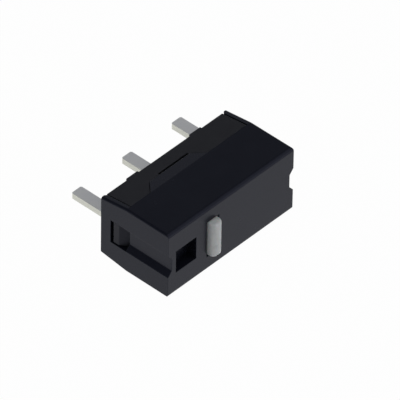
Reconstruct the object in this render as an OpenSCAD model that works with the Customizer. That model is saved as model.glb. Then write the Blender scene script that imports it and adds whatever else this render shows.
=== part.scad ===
// Sub-miniature snap-action switch with a pin plunger and three board terminals.
// It lies on one wide face: X runs along the length, Y from the plunger to the terminals,
// Z across the thickness. The origin is under the middle of its bounding box.

/* [Housing] */
// Length of the housing
body_l = 12.8; // [12.4:0.1:13.4]
// Height of the housing, from the plunger face to the board
body_h = 6.5; // [6.4:0.1:6.8]
// Thickness of the housing, across its wide faces
body_t = 5.8; // [5.6:0.1:6.2]
// Distance from the plunger face to the seam between cover and base
seam_y = 4.0; // [3.9:0.05:4.1]
// How far each wide face leans in from the seam to the board
lean = 0.33; // [0.2:0.01:0.4]
// Thickness of the cover's wide walls
side_wall = 0.5; // [0.4:0.05:0.55]
// Thickness of the cover's plunger wall
top_wall = 0.7; // [0.6:0.05:0.75]
// Thickness of the cover's end walls
end_wall = 0.65; // [0.6:0.05:0.65]
// Thickness of the arms that run down the ends of the base
arm_wall = 0.45; // [0.4:0.05:0.5]
// Radius of the edges between the plunger face and the wide faces
edge_r = 0.4; // [0.25:0.05:0.45]
// Radius of the edges between the ends and the wide faces
end_edge_r = 0.25; // [0.2:0.05:0.4]

/* [Latches] */
// Width of the groove in each end wall
groove_w = 2.0; // [1.8:0.1:2.2]
// Width of the groove's floor, between its slanted sides
groove_floor_w = 1.1; // [0.9:0.1:1.6]
// Depth of the groove
groove_deep = 0.38; // [0.3:0.01:0.4]
// Distance from the plunger face to the lower edge of the latch window
window_y = 5.47; // [5.4:0.01:5.6]
// How far a catch stands out of the base
catch_out = 0.45; // [0.38:0.01:0.47]
// Width of each wide-face tongue at its tip
tongue_w = 4.1; // [3.6:0.1:4.4]
// How far each tongue reaches past the seam
tongue_reach = 0.95; // [0.8:0.05:1.0]
// Offset of the tongues from the middle of the length
tongue_x = -1.0; // [-1.2:0.1:0]
// Width of the pry slot at the tip of a tongue
pry_w = 3.0; // [2.4:0.1:3.2]

/* [Lever socket] */
// Length of the socket that takes a lever's hinge tab
socket_l = 2.05; // [1.85:0.05:2.15]
// Width of the socket across the thickness
socket_w = 1.95; // [1.8:0.05:2.1]
// Depth of the socket
socket_deep = 0.8; // [0.7:0.1:1.2]
// Distance from the end of the housing to the socket
socket_in = 0.8; // [0.8:0.05:0.9]

/* [Plunger] */
// Distance from the middle of the length to the plunger
plunger_x = -1.85; // [-1.9:0.05:-1.5]
// Thickness of the plunger, along the housing
plunger_t = 1.0; // [0.9:0.05:1.15]
// Width of the plunger, across the housing
plunger_w = 3.0; // [2.6:0.1:3.1]
// How far the free plunger stands out
plunger_out = 0.6; // [0.58:0.01:0.65]
// Full travel of the plunger
travel = 0.55; // [0.4:0.01:0.56]
// Running clearance of the plunger in the cover
slide_gap = 0.05; // [0.03:0.01:0.08]

/* [Terminals] */
// Distance between neighbouring terminals
pitch = 5.08; // [5.0:0.01:5.1]
// Width of a terminal
pin_w = 1.0; // [0.8:0.05:1.0]
// Thickness of a terminal
pin_t = 0.5; // [0.4:0.05:0.5]
// Length of a terminal beyond the board face
pin_out = 3.5; // [3.0:0.1:4.0]
// Size of the cut corners at a terminal's tip
tip_cut = 0.1; // [0.05:0.05:0.3]

/* [Contacts] */
// Gap between the moving contact and the open contact
contact_gap = 0.48; // [0.4:0.02:0.5]
// Radius of a contact rivet's head
contact_r = 0.6; // [0.5:0.05:0.65]
// Thickness of the snap spring
leaf_t = 0.1; // [0.08:0.01:0.12]
// Width of the snap spring
leaf_w = 2.6; // [2.4:0.1:2.8]

/* [Hidden] */
$fn = 48;
fit = 0.02;                            // gap between fixed pieces
over = 0.2;                            // reach of a cutting shape past the face it cuts
nick = 0.1;                            // small bevel on a blanked corner
mid_z = body_t / 2;
end_x = body_l / 2;
// The bounding box runs from the plunger's tip to the terminals' tips.
centre_y = (body_h + pin_out - plunger_out) / 2;

// Cover
edge_bite = 0.01;                      // how far a rounded edge stops short of tangent
mouth = 0.08;                          // bevel round the plunger's opening
tongue_run = 0.9;                      // length of each slanted side of a tongue
socket_skin = 0.35;                    // wall of the box behind the lever socket
groove_skin = 0.45;                    // wall behind an end groove, at the plunger face
groove_side = 0.5;                     // wall beside an end groove
groove_taper = 0.15;                   // how much thinner that wall is at the rim
arm_lead = 0.15;                       // bevel that leads the base in between the arms
arm_short = 0.1;                       // how far the arms stop short of the board

// Base
arm_gap = 0.07;                        // gap between the base and the cover's arms
base_x = end_x - arm_wall - arm_gap;
pad_h = 0.15;                          // height of the stand-off pads
pad_l = 1.15;                          // length of a pad
pad_x = 3.2;                           // middle of each pad
base_y = body_h - pad_h;               // board face of the base, between the pads
spigot_y = 2.9;                        // rim of the base inside the cover
spigot_wall = 0.4;
floor_y = 4.6;                         // floor of the contact chamber
chamber_x = end_x - end_wall - fit - spigot_wall;
chamber_z = side_wall + fit + spigot_wall;
catch_play = 0.05;                     // play of a catch in its window
catch_w = groove_w - 3 * catch_play;
catch_low = window_y - catch_play;     // root of the catch's holding face
catch_draft = 0.17;                    // how far that face slopes back
catch_face = 0.5;                      // length of the catch's flat
catch_ramp = 0.65;                     // length of its lead-in slope
pry_gap = 0.2;                         // width of the pry slot
pry_deep = 0.45;
pry_x = tongue_x + 0.5;                // middle of the pry slot

// Snap spring: it hooks on the common terminal and turns about that hook.
leaf_y = 2.05;                         // upper face of the leaf
post_x = -end_x + 1.15;                // outer edge of the terminal's post
notch_deep = 0.2;
hook_x = post_x + notch_deep - fit;    // edge of the leaf that sits in the post's notch
leaf_x0 = post_x - 0.15;
leaf_x1 = 4.5;
root_x = 1.8;                          // where the tongue leaves the leaf
arm_w = 0.65;
tongue_leaf_w = 0.9;
brace_x = -end_x + 5.15;               // face of the brace that the tongue pushes on
tongue_tip_x = brace_x + 0.12;
tongue_drop = 1.2;
tongue_run_x = root_x - tongue_tip_x;
tongue_r = (pow(tongue_run_x, 2) + pow(tongue_drop, 2)) / (2 * tongue_drop);
contact_x = 3.8;                       // axis of the contacts
shank_r = 0.3;
head_t = 0.3;
dome_r = 1.6;

// Fixed contacts, and the terminals' shelves that carry them
closed_face = leaf_y - head_t - fit;   // face of the normally closed contact
open_face = leaf_y + leaf_t + head_t + contact_gap + fit;
plate_t = 0.4;
plate_w = 2.0;
shelf_l = 1.4;
shelf_x = contact_x - shelf_l / 2;
fixed_head_t = 0.35;
closed_plate_y = closed_face - fixed_head_t - plate_t;
open_plate_y = open_face + fixed_head_t;
pin_root = floor_y - over / 2;         // a pin starts inside its strip

// Plunger
flange_y = top_wall + fit;
flange_t = 0.4;
flange_l = plunger_t + 0.7;
flange_w = plunger_w + 0.5;
end_r = 0.3;                           // rounding of the plunger's two ends
// At full travel the foot just meets the leaf that it has pushed down.
swing = asin(contact_gap / (contact_x - hook_x));
foot_y = leaf_y + (plunger_x - plunger_t / 2 - hook_x) * tan(swing) - travel - fit;

// Moves the housing's frame, which starts at the plunger face, to the part's origin.
module place() {
    translate([0, -centre_y, 0])
        children();
}

// Box from its low corner and its size.
module block(low, size) {
    translate(low)
        cube(size);
}

// Outline in the Y-Z plane, extruded along X from x0.
module along_x(x0, length) {
    translate([x0, 0, 0])
        rotate([90, 0, 90])
            linear_extrude(length)
                children();
}

// Outline in the X-Z plane, extruded along Y from y0.
module along_y(y0, length) {
    translate([0, y0 + length, 0])
        rotate([90, 0, 0])
            linear_extrude(length)
                children();
}

// Outline in the X-Y plane, extruded along Z about the middle of the thickness.
module across(width) {
    translate([0, 0, mid_z - width / 2])
        linear_extrude(width)
            children();
}

// Both ends of the housing.
module both_ends() {
    children();
    mirror([1, 0, 0])
        children();
}

// Both wide faces of the housing.
module both_faces() {
    children();
    translate([0, 0, body_t])
        mirror([0, 0, 1])
            children();
}

// Cross-section of the housing from y0 to y1, leaning in past the seam. inset shrinks it.
function lean_at(y) = lean * max(0, y - seam_y) / (body_h - seam_y);
function section(y0, y1, inset) = [
    [y0, inset + lean_at(y0)],
    [y1, inset + lean_at(y1)],
    [y1, body_t - inset - lean_at(y1)],
    [y0, body_t - inset - lean_at(y0)]
];

// Slanted tongue outline in the X-Y plane. grow widens it for its seat in the base.
function tongue_outline(grow) = [
    [tongue_x - tongue_w / 2 - tongue_run - grow, seam_y - over],
    [tongue_x - tongue_w / 2 - tongue_run - grow, seam_y],
    [tongue_x - tongue_w / 2 - grow, seam_y + tongue_reach + grow],
    [tongue_x + tongue_w / 2 + grow, seam_y + tongue_reach + grow],
    [tongue_x + tongue_w / 2 + tongue_run + grow, seam_y],
    [tongue_x + tongue_w / 2 + tongue_run + grow, seam_y - over]
];

// Waste that a rounded edge leaves, for a corner at the origin with its material up and right.
module edge_waste(r) {
    arc_centre = r - edge_bite;
    difference() {
        translate([-over, -over])
            square(r + over);
        translate([arc_centre, arc_centre])
            circle(r);
    }
}

// The same waste along one end edge of a wide face: down to the seam, and in along the lean.
module end_edge_waste() {
    lean_angle = atan(lean / (body_h - seam_y));
    translate([-end_x, 0, 0])
        along_y(-over, seam_y + over)
            edge_waste(end_edge_r);
    translate([-end_x, seam_y, 0])
        rotate([lean_angle, 0, 0])
            along_y(0, body_h - seam_y + over)
                edge_waste(end_edge_r);
}

// Tongue that reaches past the seam and leans in with the wide face.
module tongue() {
    intersection() {
        linear_extrude(side_wall)
            polygon(tongue_outline(0));
        along_x(-end_x, body_l)
            polygon([
                [seam_y - over, 0], [seam_y, 0], [body_h, lean],
                [body_h, side_wall], [seam_y - over, side_wall]
            ]);
    }
}

// Outside of the cover, before it is hollowed.
module shell() {
    difference() {
        union() {
            block([-end_x, 0, 0], [body_l, seam_y, body_t]);
            both_ends()
                along_x(end_x - arm_wall, arm_wall)
                    polygon(section(seam_y, body_h - arm_short, 0));
        }
        both_faces() {
            along_x(-end_x - over, body_l + 2 * over)
                edge_waste(edge_r);
            both_ends()
                end_edge_waste();
        }
    }
    both_faces()
        tongue();
}

// Groove that runs down an end wall, the latch window in the arm below it, and the bevel
// inside the arm's tip.
module end_groove() {
    flare = (groove_w - groove_floor_w) / 2 / groove_deep * over;
    inner_x = end_x - arm_wall;
    arm_tip = body_h - arm_short;
    along_y(-over, seam_y + over)
        polygon([
            [end_x - groove_deep, mid_z - groove_floor_w / 2],
            [end_x + over, mid_z - groove_w / 2 - flare],
            [end_x + over, mid_z + groove_w / 2 + flare],
            [end_x - groove_deep, mid_z + groove_floor_w / 2]
        ]);
    block([inner_x - over, seam_y, mid_z - groove_w / 2],
        [arm_wall + 2 * over, window_y - seam_y, groove_w]);
    across(body_t)
        polygon([
            [inner_x - over, arm_tip - arm_lead - over],
            [inner_x + arm_lead + over, arm_tip + over],
            [inner_x - over, arm_tip + over]
        ]);
}

// Opening for the plunger, with a bevelled mouth.
module plunger_opening() {
    hole_l = plunger_t + 2 * slide_gap;
    hole_w = plunger_w + 2 * slide_gap;
    block([plunger_x - hole_l / 2, -over, mid_z - hole_w / 2],
        [hole_l, top_wall + 2 * over, hole_w]);
    intersection() {
        across(hole_w + 4 * mouth)
            polygon([
                [plunger_x - hole_l / 2 - 2 * mouth, -mouth],
                [plunger_x + hole_l / 2 + 2 * mouth, -mouth],
                [plunger_x + hole_l / 2, mouth],
                [plunger_x - hole_l / 2, mouth]
            ]);
        along_x(plunger_x - hole_l, 2 * hole_l)
            polygon([
                [-mouth, mid_z - hole_w / 2 - 2 * mouth],
                [-mouth, mid_z + hole_w / 2 + 2 * mouth],
                [mouth, mid_z + hole_w / 2],
                [mouth, mid_z - hole_w / 2]
            ]);
    }
}

// Wall inside the cover behind an end groove.
module groove_wall() {
    inner_x = end_x - groove_deep - groove_skin;
    across(groove_w + 2 * groove_side)
        polygon([
            [inner_x, top_wall / 2],
            [end_x - end_wall / 2, top_wall / 2],
            [end_x - end_wall / 2, spigot_y - fit],
            [inner_x + groove_taper, spigot_y - fit]
        ]);
}

// Box from the plunger face down, round the lever socket: grow widens it, and low is its bottom.
module socket_box(grow, top, low) {
    block([-end_x + socket_in - grow, top, mid_z - socket_w / 2 - grow],
        [socket_l + 2 * grow, low - top, socket_w + 2 * grow]);
}

module cover() {
    color("#1b1c20")
        place()
            difference() {
                union() {
                    difference() {
                        shell();
                        block([-end_x + end_wall, top_wall, side_wall],
                            [body_l - 2 * end_wall, body_h, body_t - 2 * side_wall]);
                    }
                    both_ends()
                        groove_wall();
                    socket_box(socket_skin, top_wall / 2, socket_deep + socket_skin);
                }
                both_ends()
                    end_groove();
                socket_box(0, -over, socket_deep);
                plunger_opening();
            }
}

// Wedge that snaps into a latch window.
module catch_wedge() {
    face_low = catch_low - catch_draft;
    face_high = face_low - catch_face;
    across(catch_w)
        polygon([
            [base_x - over, face_high - catch_ramp],
            [base_x, face_high - catch_ramp],
            [base_x + catch_out, face_high],
            [base_x + catch_out, face_low],
            [base_x, catch_low],
            [base_x - over, catch_low]
        ]);
}

module base() {
    color("#23242a")
        place()
            difference() {
                union() {
                    along_x(-base_x, 2 * base_x)
                        polygon(section(seam_y + fit, base_y, fit));
                    block([-chamber_x - spigot_wall, spigot_y, side_wall + fit],
                        [2 * (chamber_x + spigot_wall), floor_y - spigot_y,
                            body_t - 2 * (side_wall + fit)]);
                    both_ends()
                        catch_wedge();
                    both_ends()
                        along_x(pad_x - pad_l / 2, pad_l)
                            polygon(section(base_y - over, body_h, fit));
                }
                // Contact chamber
                block([-chamber_x, spigot_y - over, chamber_z],
                    [2 * chamber_x, floor_y - spigot_y + over, body_t - 2 * chamber_z]);
                // Seats of the two tongues, and the pry slots at their tips
                both_faces() {
                    translate([0, 0, -over])
                        linear_extrude(side_wall + fit + over)
                            polygon(tongue_outline(fit));
                    block([pry_x - pry_w / 2, seam_y + tongue_reach, -over],
                        [pry_w, pry_gap, pry_deep + over]);
                }
                terminal_slots();
            }
}

// Slots that hold the three terminals in the base.
module terminal_slots() {
    gap = fit / 2;
    for (i = [-1 : 1])
        block([i * pitch - pin_w / 2 - gap, floor_y - over, mid_z - pin_t / 2 - gap],
            [pin_w + 2 * gap, body_h, pin_t + 2 * gap]);
}

// Pin that slides in the cover: a bar with a rounded tip, a retaining flange and a foot.
module plunger() {
    r = plunger_t / 2;
    low_z = mid_z - plunger_w / 2;
    high_z = mid_z + plunger_w / 2;
    color("#dcdcda")
        place()
            union() {
                intersection() {
                    across(plunger_w)
                        union() {
                            translate([plunger_x, r - plunger_out])
                                circle(r);
                            translate([plunger_x - r, r - plunger_out])
                                square([plunger_t, foot_y - r + plunger_out]);
                        }
                    along_x(plunger_x - r, plunger_t)
                        union() {
                            for (z = [low_z + end_r, high_z - end_r])
                                translate([end_r - plunger_out, z])
                                    circle(end_r);
                            translate([-plunger_out, low_z + end_r])
                                square([foot_y + plunger_out, plunger_w - 2 * end_r]);
                            translate([end_r - plunger_out, low_z])
                                square([foot_y + plunger_out - end_r, plunger_w]);
                        }
                }
                block([plunger_x - flange_l / 2, flange_y, mid_z - flange_w / 2],
                    [flange_l, flange_t, flange_w]);
            }
}

// Pin of a terminal, with cut corners at its tip.
module pin(x, y0) {
    tip = body_h + pin_out;
    across(pin_t)
        polygon([
            [x - pin_w / 2, y0], [x + pin_w / 2, y0],
            [x + pin_w / 2, tip - tip_cut], [x + pin_w / 2 - tip_cut, tip],
            [x - pin_w / 2 + tip_cut, tip], [x - pin_w / 2, tip - tip_cut]
        ]);
}

// Blanked flat: a post that the leaf hooks on, and a brace that the tongue pushes against.
module common_terminal() {
    post_l = 0.85;
    post_y = leaf_y - 0.35;
    notch_y = leaf_y + leaf_t / 2;
    notch_mouth = 0.22;                // half the notch's width at the post's edge
    notch_seat = 0.06;                 // half its width at the bottom
    arm_y = floor_y - 0.5;
    brace_l = 0.55;
    brace_y = leaf_y + 0.95;
    seat_y = notch_y + tongue_drop;    // shallow seat for the tongue's tip
    color("#a9a9ab")
        place()
            union() {
                pin(-pitch, pin_root);
                across(pin_t)
                    polygon([
                        [post_x, floor_y],
                        [post_x, notch_y + notch_mouth],
                        [post_x + notch_deep, notch_y + notch_seat],
                        [post_x + notch_deep, notch_y - notch_seat],
                        [post_x, notch_y - notch_mouth],
                        [post_x + nick, post_y],
                        [post_x + post_l - nick, post_y],
                        [post_x + post_l, post_y + nick],
                        [post_x + post_l, arm_y],
                        [brace_x - brace_l, arm_y],
                        [brace_x - brace_l, brace_y + nick],
                        [brace_x - brace_l + nick, brace_y],
                        [brace_x - nick / 2, brace_y],
                        [brace_x, seat_y - nick],
                        [brace_x - nick, seat_y],
                        [brace_x, seat_y + nick],
                        [brace_x, floor_y]
                    ]);
            }
}

// Folded strip: the pin, a flag along the chamber's floor, and a shelf that carries the contact.
module normally_open_terminal() {
    flag_h = 0.45;
    color("#a9a9ab")
        place()
            difference() {
                union() {
                    pin(0, pin_root);
                    across(pin_t)
                        polygon([
                            [-pin_w / 2, floor_y],
                            [-pin_w / 2, floor_y - flag_h],
                            [shelf_x, floor_y - flag_h],
                            [shelf_x, open_plate_y + plate_t / 2],
                            [shelf_x + shelf_l, open_plate_y + plate_t / 2],
                            [shelf_x + shelf_l, floor_y]
                        ]);
                    block([shelf_x, open_plate_y, mid_z - plate_w / 2],
                        [shelf_l, plate_t, plate_w]);
                }
                rivet_hole(open_plate_y);
            }
}

// Folded strip: the pin, a riser along the end of the chamber, and a shelf over the contact.
module normally_closed_terminal() {
    riser_x = chamber_x - fit;
    riser_t = 0.4;
    foot_h = 0.3;
    color("#a9a9ab")
        place()
            difference() {
                union() {
                    pin(pitch, pin_root);
                    across(pin_t)
                        polygon([
                            [pitch - pin_w / 2, floor_y],
                            [pitch - pin_w / 2, floor_y - foot_h],
                            [riser_x - riser_t, floor_y - 2 * foot_h],
                            [riser_x, floor_y - 2 * foot_h],
                            [riser_x, floor_y]
                        ]);
                    block([riser_x - riser_t, closed_plate_y, mid_z - plate_w / 2],
                        [riser_t, floor_y - foot_h - closed_plate_y, plate_w]);
                    block([shelf_x, closed_plate_y, mid_z - plate_w / 2],
                        [riser_x - shelf_x, plate_t, plate_w]);
                }
                rivet_hole(closed_plate_y);
            }
}

// Hole that a fixed contact is riveted in.
module rivet_hole(plate_y) {
    translate([contact_x, plate_y - over, mid_z])
        rotate([-90, 0, 0])
            cylinder(h = plate_t + 2 * over, r = shank_r);
}

// Stamped leaf: two tension arms, a contact pad, and a tongue curled down to the brace.
module snap_spring() {
    arms_in = leaf_w / 2 - arm_w;
    tongue_root = 0.05;                // the tongue starts a little inside the pad
    color("#b98a52")
        place()
            union() {
                difference() {
                    block([leaf_x0, leaf_y, mid_z - leaf_w / 2],
                        [leaf_x1 - leaf_x0, leaf_t, leaf_w]);
                    block([hook_x, leaf_y - over, mid_z - arms_in],
                        [root_x - hook_x, leaf_t + 2 * over, 2 * arms_in]);
                    translate([contact_x, leaf_y - over, mid_z])
                        rotate([-90, 0, 0])
                            cylinder(h = leaf_t + 2 * over, r = shank_r);
                }
                across(tongue_leaf_w)
                    intersection() {
                        translate([root_x, leaf_y + tongue_r])
                            difference() {
                                circle(tongue_r, $fn = 128);
                                circle(tongue_r - leaf_t, $fn = 128);
                            }
                        translate([tongue_tip_x, leaf_y])
                            square([tongue_run_x + tongue_root, tongue_drop + leaf_t]);
                    }
            }
}

// Domed head of a rivet, from its seat at the origin up along Z.
module domed_head(thick) {
    intersection() {
        cylinder(h = thick, r = contact_r);
        translate([0, 0, thick - dome_r])
            sphere(dome_r);
    }
}

// Rivet through the leaf, with a domed head on each side.
module moving_contact() {
    color("#d8d8dc")
        place()
            translate([contact_x, leaf_y, mid_z])
                rotate([-90, 0, 0])
                    union() {
                        cylinder(h = leaf_t, r = shank_r);
                        translate([0, 0, leaf_t])
                            domed_head(head_t);
                        mirror([0, 0, 1])
                            domed_head(head_t);
                    }
}

// Rivet with a flat face on one side of a terminal's shelf. side is 1 or -1 along Y.
module fixed_contact(plate_y, side) {
    seat_y = side > 0 ? plate_y + plate_t : plate_y;
    color("#d8d8dc")
        place()
            translate([contact_x, seat_y, mid_z])
                rotate([-90 * side, 0, 0])
                    union() {
                        cylinder(h = fixed_head_t, r = contact_r);
                        translate([0, 0, -plate_t])
                            cylinder(h = plate_t, r = shank_r);
                    }
}

module normally_open_contact() {
    fixed_contact(open_plate_y, -1);
}

module normally_closed_contact() {
    fixed_contact(closed_plate_y, 1);
}

cover();
base();
plunger();
common_terminal();
normally_open_terminal();
normally_closed_terminal();
snap_spring();
moving_contact();
normally_open_contact();
normally_closed_contact();
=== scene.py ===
import math

import bmesh
import bpy
from mathutils import Matrix, Vector


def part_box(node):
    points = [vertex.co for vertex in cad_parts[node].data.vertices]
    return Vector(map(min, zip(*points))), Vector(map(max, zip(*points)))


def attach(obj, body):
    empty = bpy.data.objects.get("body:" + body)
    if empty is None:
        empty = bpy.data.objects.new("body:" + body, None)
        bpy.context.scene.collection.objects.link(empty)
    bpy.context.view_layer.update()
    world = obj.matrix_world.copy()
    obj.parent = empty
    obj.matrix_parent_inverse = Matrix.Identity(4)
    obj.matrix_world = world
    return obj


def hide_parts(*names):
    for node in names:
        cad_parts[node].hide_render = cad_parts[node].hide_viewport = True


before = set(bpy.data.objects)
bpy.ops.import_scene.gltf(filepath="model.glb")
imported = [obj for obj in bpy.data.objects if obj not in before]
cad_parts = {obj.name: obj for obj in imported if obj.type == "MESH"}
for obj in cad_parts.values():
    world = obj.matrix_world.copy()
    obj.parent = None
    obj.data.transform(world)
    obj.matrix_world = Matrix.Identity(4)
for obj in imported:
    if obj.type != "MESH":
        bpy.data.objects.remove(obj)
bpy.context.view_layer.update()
mm = 0.001

# ---------------------------------------------------------------------------
# Camera
# A long lens looks down on the corner between the plunger face and the near end,
# with the middle of the cover almost in the middle of the view.
# ---------------------------------------------------------------------------
view_azimuth = math.radians(-47.734)
view_elevation = math.radians(41.734)
view_roll = math.radians(0.954)
view_distance = 600 * mm
aim_right = 0.184 * mm
aim_up = 0.121 * mm
focal_length = 776.14
sensor_width = 36
nearest_seen = 0.01
farthest_seen = 20

cover_low, cover_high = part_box("cover")
housing_middle = (cover_low + cover_high) / 2
back = Vector((
    math.sin(view_azimuth) * math.cos(view_elevation),
    -math.cos(view_azimuth) * math.cos(view_elevation),
    math.sin(view_elevation),
))
level = Vector((0, 0, 1)).cross(back).normalized()
upright = back.cross(level)
right = math.cos(view_roll) * level + math.sin(view_roll) * upright
up = math.cos(view_roll) * upright - math.sin(view_roll) * level

lens = bpy.data.cameras.new("portrait_lens")
lens.sensor_width = sensor_width
lens.lens = focal_length
lens.clip_start = nearest_seen
lens.clip_end = farthest_seen
camera = bpy.data.objects.new("portrait_camera", lens)
bpy.context.scene.collection.objects.link(camera)
camera.rotation_euler = Matrix((right, up, back)).transposed().to_euler()
camera.location = housing_middle + back * view_distance + right * aim_right + up * aim_up
bpy.context.scene.camera = camera
bpy.context.scene.view_settings.view_transform = "Standard"

# ---------------------------------------------------------------------------
# Light tent
# Three wide soft lamps stand low round the table, with one overhead and a dim sky, so
# that upright faces are lit more than the faces that look up.
# ---------------------------------------------------------------------------
sky_colour = (0.88, 0.94, 1.0, 1)
sky_strength = 0.22
lamp_distance = 1.0


def soft_lamp(name, azimuth, elevation, size, power):
    """Square lamp that looks at the housing from that side: azimuth 0 is the plunger's side."""
    a = math.radians(azimuth)
    e = math.radians(elevation)
    towards = Vector((math.sin(a) * math.cos(e), -math.cos(a) * math.cos(e), math.sin(e)))
    light = bpy.data.lights.new(name, "AREA")
    light.shape = "SQUARE"
    light.size = size
    light.energy = power
    lamp = bpy.data.objects.new(name, light)
    bpy.context.scene.collection.objects.link(lamp)
    lamp.location = housing_middle + towards * lamp_distance
    lamp.rotation_euler = towards.to_track_quat("Z", "Y").to_euler()
    lamp.visible_camera = False


soft_lamp("front_panel", azimuth=40, elevation=24, size=1.2, power=3.4)
soft_lamp("near_end_panel", azimuth=-85, elevation=22, size=1.0, power=1.3)
soft_lamp("far_panel", azimuth=150, elevation=22, size=0.7, power=0.45)
soft_lamp("overhead_panel", azimuth=-40, elevation=76, size=0.7, power=1.2)

sky = bpy.data.worlds.new("tent_sky")
bpy.context.scene.world = sky
sky.use_nodes = True
sky.node_tree.nodes["Background"].inputs["Color"].default_value = sky_colour
sky.node_tree.nodes["Background"].inputs["Strength"].default_value = sky_strength

# ---------------------------------------------------------------------------
# Table
# A white disc whose rim curves up into a low wall, as a paper sweep does. It shows
# nearly white, keeps only a trace of shadow, and is clear from below.
# ---------------------------------------------------------------------------
table_radius = 1.5
table_drop = 0.01 * mm
table_segments = 96
table_white = (0.86, 0.86, 0.86, 1)
table_glow = 0.98
rim_steps = ((0.14, 0.02), (0.12, 0.06), (0.08, 0.12), (0.04, 0.2))  # outwards, upwards

bm = bmesh.new()
bmesh.ops.create_circle(bm, cap_ends=True, segments=table_segments, radius=table_radius)
rim = list(bm.edges)
for outwards, upwards in rim_steps:
    made = bmesh.ops.extrude_edge_only(bm, edges=rim)["geom"]
    ring = [part for part in made if isinstance(part, bmesh.types.BMVert)]
    edges = [part for part in made if isinstance(part, bmesh.types.BMEdge)]
    rim = [edge for edge in edges if all(vertex in ring for vertex in edge.verts)]
    widening = 1 + outwards / table_radius
    bmesh.ops.scale(bm, vec=(widening, widening, 1), verts=ring)
    bmesh.ops.translate(bm, vec=(0, 0, upwards), verts=ring)
bmesh.ops.translate(bm, vec=(0, 0, -table_drop), verts=bm.verts)
for face in bm.faces:
    face.normal_update()
    face.smooth = True
    if face.normal.z < 0:
        face.normal_flip()
table_mesh = bpy.data.meshes.new("table")
bm.to_mesh(table_mesh)
bm.free()
table = bpy.data.objects.new("table", table_mesh)
bpy.context.scene.collection.objects.link(table)


def add_math(tree, operation, first, second):
    """Adds a sum to a node tree. The second value is a number or another node's output."""
    node = tree.nodes.new("ShaderNodeMath")
    node.operation = operation
    tree.links.new(first, node.inputs[0])
    if isinstance(second, bpy.types.NodeSocket):
        tree.links.new(second, node.inputs[1])
    else:
        node.inputs[1].default_value = second
    return node.outputs[0]


def add_shader_mix(tree, factor, first, second):
    """Adds a mix of two shaders to a node tree."""
    node = tree.nodes.new("ShaderNodeMixShader")
    tree.links.new(factor, node.inputs["Fac"])
    tree.links.new(first, node.inputs[1])
    tree.links.new(second, node.inputs[2])
    return node.outputs[0]


paper = bpy.data.materials.new("white_paper")
paper.use_nodes = True
tree = paper.node_tree
tree.nodes.clear()
output = tree.nodes.new("ShaderNodeOutputMaterial")
matt = tree.nodes.new("ShaderNodeBsdfDiffuse")
matt.inputs["Color"].default_value = table_white
glow = tree.nodes.new("ShaderNodeEmission")
glow.inputs["Strength"].default_value = 1
clear = tree.nodes.new("ShaderNodeBsdfTransparent")
sides = tree.nodes.new("ShaderNodeNewGeometry")
rays = tree.nodes.new("ShaderNodeLightPath").outputs
seen = add_math(tree, "MAXIMUM", rays["Is Camera Ray"], rays["Is Glossy Ray"])
seen = add_math(tree, "MAXIMUM", seen, rays["Is Transmission Ray"])
share = add_math(tree, "MULTIPLY", seen, table_glow)
top = add_shader_mix(tree, share, matt.outputs[0], glow.outputs[0])
both = add_shader_mix(tree, sides.outputs["Backfacing"], top, clear.outputs[0])
tree.links.new(both, output.inputs["Surface"])
table_mesh.materials.append(paper)

# ---------------------------------------------------------------------------
# Cover
# One black moulded shell with a fine spark-eroded skin. Its arms snap over the base's
# catches, and its outer edges have the small radius that the mould leaves.
# ---------------------------------------------------------------------------
cover_black = (0.0076, 0.0082, 0.0130, 1)
# Paler colour for the cover's rounded edges: partly wear, partly a painted highlight.
cover_worn_highlight = (0.016, 0.017, 0.020, 1)
cover_edge = 0.03 * mm
weld_distance = 0.0001 * mm
flat_angle = math.radians(1)
smooth_fold = math.radians(40)


def joined_copy(node):
    """The shape of a CAD node with its triangles joined into whole flat faces."""
    bm = bmesh.new()
    bm.from_mesh(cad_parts[node].data)
    bmesh.ops.remove_doubles(bm, verts=bm.verts, dist=weld_distance)
    bmesh.ops.dissolve_limit(bm, angle_limit=flat_angle, verts=bm.verts, edges=bm.edges)
    bm.faces.layers.float.new("edge_wear_highlight_mark")
    return bm


def round_edges(bm, radius, least, most=120):
    """Rounds the outer edges that turn by least to most degrees, and marks the new faces."""
    chosen = []
    for edge in bm.edges:
        turn = math.degrees(edge.calc_face_angle())
        if edge.is_convex and least < turn <= most:
            chosen.append(edge)
    made = bmesh.ops.bevel(
        bm, geom=chosen, offset=radius, offset_type="OFFSET", segments=2, profile=0.5,
        affect="EDGES", clamp_overlap=True, material=-1,
    )
    mark = bm.faces.layers.float["edge_wear_highlight_mark"]
    for face in made["faces"]:
        face[mark] = 1.0


def settle_normals(mesh, narrow):
    """Wide faces stay flat. Those under the narrow width shade smoothly into what they touch."""
    around = {}
    for face in mesh.polygons:
        for vertex in face.vertices:
            around.setdefault(vertex, []).append(face)
    normals = []
    for face in mesh.polygons:
        corners = [mesh.vertices[vertex].co for vertex in face.vertices]
        rim = sum((a - b).length for a, b in zip(corners, corners[1:] + corners[:1]))
        is_wide = 2 * face.area > narrow * rim
        for vertex in face.vertices:
            blend = face.normal * face.area
            for other in around[vertex]:
                if not is_wide and other.normal.angle(face.normal, math.pi) < smooth_fold:
                    blend += other.normal * other.area
            normals.append(blend.normalized())
    mesh.normals_split_custom_set(normals)


def finished_piece(bm, name, body, node, material, narrow=0.17 * mm):
    """Turns a bmesh into a piece that rides on a body and stands for a CAD node."""
    mesh = bpy.data.meshes.new(name)
    for face in bm.faces:
        face.smooth = True
    bm.to_mesh(mesh)
    bm.free()
    settle_normals(mesh, narrow)
    mesh.materials.clear()
    mesh.materials.append(material)
    piece = bpy.data.objects.new(name, mesh)
    bpy.context.scene.collection.objects.link(piece)
    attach(piece, body)
    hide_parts(node)


def add_group(tree, group, **values):
    """Adds a shader group to a node tree, with some of its inputs set."""
    node = tree.nodes.new("ShaderNodeGroup")
    node.node_tree = group
    for name, value in values.items():
        node.inputs[name.replace("_", " ").title()].default_value = value
    return node


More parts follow.
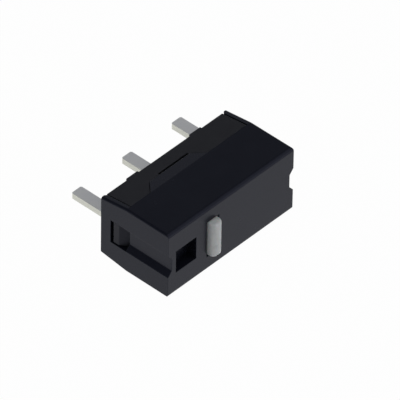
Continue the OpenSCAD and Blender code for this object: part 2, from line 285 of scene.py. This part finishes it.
def add_mix(tree, factor, first, second):
    """Adds a mix of two colours, each given as numbers or as another node's output."""
    node = tree.nodes.new("ShaderNodeMix")
    node.data_type = "RGBA"
    tree.links.new(factor, node.inputs["Factor"])
    for name, colour in (("A", first), ("B", second)):
        if isinstance(colour, bpy.types.NodeSocket):
            tree.links.new(colour, node.inputs[name])
        else:
            node.inputs[name].default_value = colour
    return node.outputs["Result"]


def add_range(tree, value, start=0, stop=1, low=0, high=1):
    """Adds a node that maps a value from start and stop onto low and high."""
    node = tree.nodes.new("ShaderNodeMapRange")
    node.inputs["From Min"].default_value = start
    node.inputs["From Max"].default_value = stop
    node.inputs["To Min"].default_value = low
    node.inputs["To Max"].default_value = high
    tree.links.new(value, node.inputs["Value"])
    return node.outputs["Result"]


def add_noise(tree, place, detail, scale=None):
    """Adds a noise texture. Its scale is another node's output, or stays to be set."""
    node = tree.nodes.new("ShaderNodeTexNoise")
    node.inputs["Detail"].default_value = detail
    tree.links.new(place, node.inputs["Vector"])
    if scale is not None:
        tree.links.new(scale, node.inputs["Scale"])
    return node


def add_bump(tree, height, strength, distance):
    """Adds a bump to a material and leads it to the shader."""
    node = tree.nodes.new("ShaderNodeBump")
    node.inputs["Strength"].default_value = strength
    node.inputs["Distance"].default_value = distance
    tree.links.new(height, node.inputs["Height"])
    tree.links.new(node.outputs["Normal"], tree.nodes["Principled BSDF"].inputs["Normal"])


def new_material(name):
    """A material with its node tree and its principled shader's inputs."""
    material = bpy.data.materials.new(name)
    material.use_nodes = True
    tree = material.node_tree
    return material, tree, tree.nodes["Principled BSDF"].inputs


def new_group(name, inputs, outputs):
    """A shader group with float inputs and their values, and float outputs."""
    group = bpy.data.node_groups.new(name, "ShaderNodeTree")
    for title, value in inputs.items():
        socket = group.interface.new_socket(
            name=title, in_out="INPUT", socket_type="NodeSocketFloat")
        socket.default_value = value
    for title in outputs:
        group.interface.new_socket(name=title, in_out="OUTPUT", socket_type="NodeSocketFloat")
    start = group.nodes.new("NodeGroupInput").outputs
    end = group.nodes.new("NodeGroupOutput").inputs
    return group, start, end


def moulded_skin_group():
    """Fine pebbled skin of moulded plastic, and the faint clouds that flow leaves in it."""
    group, start, end = new_group(
        "moulded_skin", {"Grain Scale": 9000.0, "Cloud Scale": 500.0}, ("Grain", "Cloud"))
    place = group.nodes.new("ShaderNodeTexCoord").outputs["Object"]
    grain = add_noise(group, place, 3, start["Grain Scale"])
    grain.inputs["Roughness"].default_value = 0.6
    cloud = add_noise(group, place, 4, start["Cloud Scale"])
    cloud.inputs["Roughness"].default_value = 0.55
    cloud.inputs["Distortion"].default_value = 0.4
    group.links.new(grain.outputs["Fac"], end["Grain"])
    group.links.new(cloud.outputs["Fac"], end["Cloud"])
    return group


def edge_wear_highlight_group():
    """Mask of the rounded edges, broken up in patches. It lays both wear and a painted highlight
    on them.
    """
    group, start, end = new_group(
        "edge_wear_highlight", {"Patch Scale": 1200.0, "Amount": 1.0}, ("Mask",))
    place = group.nodes.new("ShaderNodeTexCoord").outputs["Object"]
    # The rounded-edge mark carries edge wear and a painted highlight together.
    edge = group.nodes.new("ShaderNodeAttribute")
    edge.attribute_name = "edge_wear_highlight_mark"
    patch = add_noise(group, place, 4, start["Patch Scale"])
    spread = add_range(group, patch.outputs["Fac"], start=0.35, stop=0.65)
    broken = add_math(group, "MULTIPLY", spread, edge.outputs["Fac"])
    scaled = add_math(group, "MULTIPLY", broken, start["Amount"])
    group.links.new(scaled, end["Mask"])
    return group


moulded_skin = moulded_skin_group()
edge_wear_highlight = edge_wear_highlight_group()
plastic_ior = 1.25
cool_sheen = (0.84, 0.89, 1.25, 1)


def shaded(colour, factor):
    """The colour made darker or paler by that factor."""
    return tuple(part * factor for part in colour[:3]) + (1,)


def black_plastic(name, colour, worn_highlight_colour, gloss, grain_scale, grain_height):
    """Satin black thermoplastic: pebbled skin, faint flow clouds, and rounded edges painted
    paler, partly as wear and partly as a painted highlight.
    """
    material, tree, shader = new_material(name)
    shader["IOR"].default_value = plastic_ior
    shader["Specular Tint"].default_value = cool_sheen
    skin = add_group(tree, moulded_skin, grain_scale=grain_scale).outputs
    wear_highlight = add_group(tree, edge_wear_highlight, amount=0.6).outputs
    clouded = add_mix(tree, skin["Cloud"], shaded(colour, 0.85), shaded(colour, 1.15))
    # Rounded edges take the paler colour: partly wear, partly a painted highlight.
    worn_highlit = add_mix(tree, wear_highlight["Mask"], clouded, worn_highlight_colour)
    tree.links.new(worn_highlit, shader["Base Color"])
    rough = add_range(tree, skin["Cloud"], start=0.3, stop=0.7, low=gloss[0], high=gloss[1])
    tree.links.new(rough, shader["Roughness"])
    add_bump(tree, skin["Grain"], 0.5, grain_height)
    return material


cover_plastic = black_plastic(
    "cover_plastic", cover_black, cover_worn_highlight, gloss=(0.20, 0.28),
    grain_scale=9000.0, grain_height=0.003 * mm)
bm = joined_copy("cover")
round_edges(bm, cover_edge, least=35)
finished_piece(bm, "cover_shell", "housing", "cover", cover_plastic)

# ---------------------------------------------------------------------------
# Base
# The black block that the terminals are fixed in. It closes the cover, leans in towards
# the board, and stands on two pads. Its plastic is a shade greyer than the cover's.
# ---------------------------------------------------------------------------
base_black = (0.0110, 0.0108, 0.0122, 1)
# Paler colour for the base's rounded edges: partly wear, partly a painted highlight line.
base_worn_highlight = (0.045, 0.046, 0.050, 1)
base_edge = 0.05 * mm

base_plastic = black_plastic(
    "base_plastic", base_black, base_worn_highlight, gloss=(0.4, 0.52),
    grain_scale=7000.0, grain_height=0.005 * mm)
bm = joined_copy("base")
round_edges(bm, base_edge, least=20)
finished_piece(bm, "base_block", "housing", "base", base_plastic)

# ---------------------------------------------------------------------------
# Plunger
# A moulded off-white acetal pin that slides through the cover. Its tip is fully rounded,
# its two ends are softened, and a flange inside keeps it from falling out.
# ---------------------------------------------------------------------------
acetal_white = (0.66, 0.665, 0.66, 1)
acetal_scuffed = (0.54, 0.545, 0.54, 1)


def acetal():
    """Off-white acetal: waxy, a little see-through, with faint duller clouds."""
    material, tree, shader = new_material("plunger_plastic")
    shader["IOR"].default_value = 1.48
    shader["Subsurface Weight"].default_value = 0.15
    shader["Subsurface Scale"].default_value = 0.3 * mm
    skin = add_group(tree, moulded_skin, grain_scale=6000.0, cloud_scale=2600.0).outputs
    clean = add_range(tree, skin["Cloud"], start=0.25, stop=0.5)
    tint = add_mix(tree, clean, acetal_scuffed, acetal_white)
    tree.links.new(tint, shader["Base Color"])
    rough = add_range(tree, skin["Cloud"], low=0.5, high=0.3)
    tree.links.new(rough, shader["Roughness"])
    add_bump(tree, skin["Grain"], 0.3, 0.003 * mm)
    return material


pin_low, pin_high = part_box("plunger")
pin_middle = (pin_low + pin_high) / 2
flange_past = Vector((0.35, 0, 0.25)) * mm
flange_top = cover_low.y + 0.72 * mm
flange_thick = 0.4 * mm
end_radius = 0.3 * mm
side_radius = 0.12 * mm
soft_edge = 0.05 * mm
pin_narrow = 0.3 * mm
corner_steps = 6
tip_steps = 12
pin_half = (pin_high - pin_low) / 2 - flange_past
flange_half = pin_half + flange_past


def pin_ring(bm, half_x, half_z, corner, y):
    """Rounded rectangle across the pin at that height."""
    ring = []
    for quarter, (side_x, side_z) in enumerate(((1, 1), (-1, 1), (-1, -1), (1, -1))):
        for step in range(corner_steps + 1):
            turn = math.radians(90 * quarter + 90 / corner_steps * step)
            ring.append(bm.verts.new((
                pin_middle.x + side_x * (half_x - corner) + corner * math.cos(turn),
                y,
                pin_middle.z + side_z * (half_z - corner) + corner * math.sin(turn),
            )))
    return ring


bm = bmesh.new()
bm.faces.layers.float.new("edge_wear_highlight_mark")
rings = []
for step in range(1, tip_steps + 1):
    lean = math.radians(90 / tip_steps * step)
    half_x = pin_half.x * math.sin(lean)
    down = pin_half.x * (1 - math.cos(lean))
    short = end_radius - min(down, end_radius)
    half_z = pin_half.z - end_radius + math.sqrt(end_radius ** 2 - short ** 2)
    corner = min(side_radius, 0.9 * half_x)
    rings.append(pin_ring(bm, half_x, half_z, corner, pin_low.y + down))
for half, shrink, y in (
    (pin_half, 0, flange_top),
    (flange_half, soft_edge, flange_top),
    (flange_half, 0, flange_top + soft_edge),
    (flange_half, 0, flange_top + flange_thick - soft_edge),
    (flange_half, soft_edge, flange_top + flange_thick),
    (pin_half, 0, flange_top + flange_thick),
    (pin_half, 0, pin_high.y - soft_edge),
    (pin_half, soft_edge, pin_high.y),
):
    rings.append(pin_ring(bm, half.x - shrink, half.z - shrink, side_radius - shrink, y))
for upper, lower in zip(rings, rings[1:]):
    for i in range(len(upper)):
        j = (i + 1) % len(upper)
        bm.faces.new((upper[i], upper[j], lower[j], lower[i]))
bm.faces.new(rings[0])
bm.faces.new(rings[-1])
bmesh.ops.recalc_face_normals(bm, faces=bm.faces)
finished_piece(
    bm, "plunger_pin", "button", "plunger", acetal(), narrow=pin_narrow)

# ---------------------------------------------------------------------------
# Terminals
# Three flats blanked from brass strip with a dull tin plating. The plating carries the
# strip's fine rolling lines, and the sheared edges are a little darker and warmer.
# ---------------------------------------------------------------------------
tin = (0.82, 0.81, 0.83, 1)
tin_worn = (0.90, 0.88, 0.86, 1)
sheared = (0.72, 0.72, 0.65, 1)
rolled_grain = (9000, 400, 9000)
strip_edge = 0.03 * mm
flat_of_strip = 0.6  # least upward share of a face's normal that counts as the strip's flat


def tinned_strip():
    """Dull tin plating over brass, with rolling lines along the strip."""
    material, tree, shader = new_material("terminal_metal")
    shader["Metallic"].default_value = 0.7
    place = tree.nodes.new("ShaderNodeTexCoord")
    stretch = tree.nodes.new("ShaderNodeMapping")
    stretch.inputs["Scale"].default_value = rolled_grain
    tree.links.new(place.outputs["Object"], stretch.inputs["Vector"])
    lines = add_noise(tree, stretch.outputs["Vector"], 3)
    lines.inputs["Scale"].default_value = 1
    skin = add_group(tree, moulded_skin, cloud_scale=1500.0).outputs
    wear_highlight = add_group(tree, edge_wear_highlight).outputs
    plate = add_mix(tree, skin["Cloud"], tin, tin_worn)
    cut = tree.nodes.new("ShaderNodeAttribute")
    cut.attribute_name = "sheared_face"
    torn = add_math(tree, "MAXIMUM", cut.outputs["Fac"], wear_highlight["Mask"])
    edge = add_mix(tree, torn, plate, sheared)
    tree.links.new(edge, shader["Base Color"])
    rough = add_range(tree, lines.outputs["Fac"], low=0.38, high=0.52)
    tree.links.new(rough, shader["Roughness"])
    add_bump(tree, lines.outputs["Fac"], 0.4, 0.003 * mm)
    return material


terminal_metal = tinned_strip()
for node in ("common_terminal", "normally_open_terminal", "normally_closed_terminal"):
    bm = joined_copy(node)
    sheared_mark = bm.faces.layers.float.new("sheared_face")
    round_edges(bm, strip_edge, least=20)
    bm.normal_update()
    for face in bm.faces:
        if abs(face.normal.z) < flat_of_strip:
            face[sheared_mark] = 1.0
    finished_piece(bm, node + "_strip", "housing", node, terminal_metal)

# ---------------------------------------------------------------------------
# Snap spring
# One leaf stamped from thin hard beryllium copper strip: two arms in tension and a curled
# tongue that pushes on the brace. It hooks on the common terminal's post.
# ---------------------------------------------------------------------------
copper = (0.60, 0.33, 0.16, 1)
copper_dull = (0.42, 0.22, 0.11, 1)
leaf_edge = 0.012 * mm


def spring_strip():
    """Bright rolled beryllium copper, a little tarnished in patches."""
    material, tree, shader = new_material("leaf_metal")
    shader["Metallic"].default_value = 1
    skin = add_group(tree, moulded_skin, cloud_scale=900.0).outputs
    tarnish = add_mix(tree, skin["Cloud"], copper, copper_dull)
    tree.links.new(tarnish, shader["Base Color"])
    rough = add_range(tree, skin["Grain"], low=0.22, high=0.38)
    tree.links.new(rough, shader["Roughness"])
    add_bump(tree, skin["Grain"], 0.2, 0.001 * mm)
    return material


bm = joined_copy("snap_spring")
round_edges(bm, leaf_edge, least=60)
finished_piece(bm, "snap_spring_leaf", "leaf", "snap_spring", spring_strip())

# ---------------------------------------------------------------------------
# Contacts
# Silver-alloy rivets: a double-faced one closed over the leaf, and one headed over each
# fixed terminal's shelf. Their faces carry a faint grey bloom.
# ---------------------------------------------------------------------------
silver = (0.82, 0.81, 0.78, 1)
silver_bloom = (0.50, 0.50, 0.51, 1)
rivet_edge = 0.02 * mm
rivet_narrow = 0.5 * mm


def silver_alloy():
    """Pale silver alloy, duller in small patches."""
    material, tree, shader = new_material("contact_metal")
    shader["Metallic"].default_value = 1
    skin = add_group(tree, moulded_skin, cloud_scale=2600.0).outputs
    bloom = add_mix(tree, skin["Cloud"], silver, silver_bloom)
    tree.links.new(bloom, shader["Base Color"])
    rough = add_range(tree, skin["Cloud"], low=0.25, high=0.45)
    tree.links.new(rough, shader["Roughness"])
    return material


contact_metal = silver_alloy()
for node, body in (
    ("moving_contact", "leaf"),
    ("normally_open_contact", "housing"),
    ("normally_closed_contact", "housing"),
):
    bm = joined_copy(node)
    round_edges(bm, rivet_edge, least=60)
    finished_piece(
        bm, node + "_rivet", body, node, contact_metal, narrow=rivet_narrow)
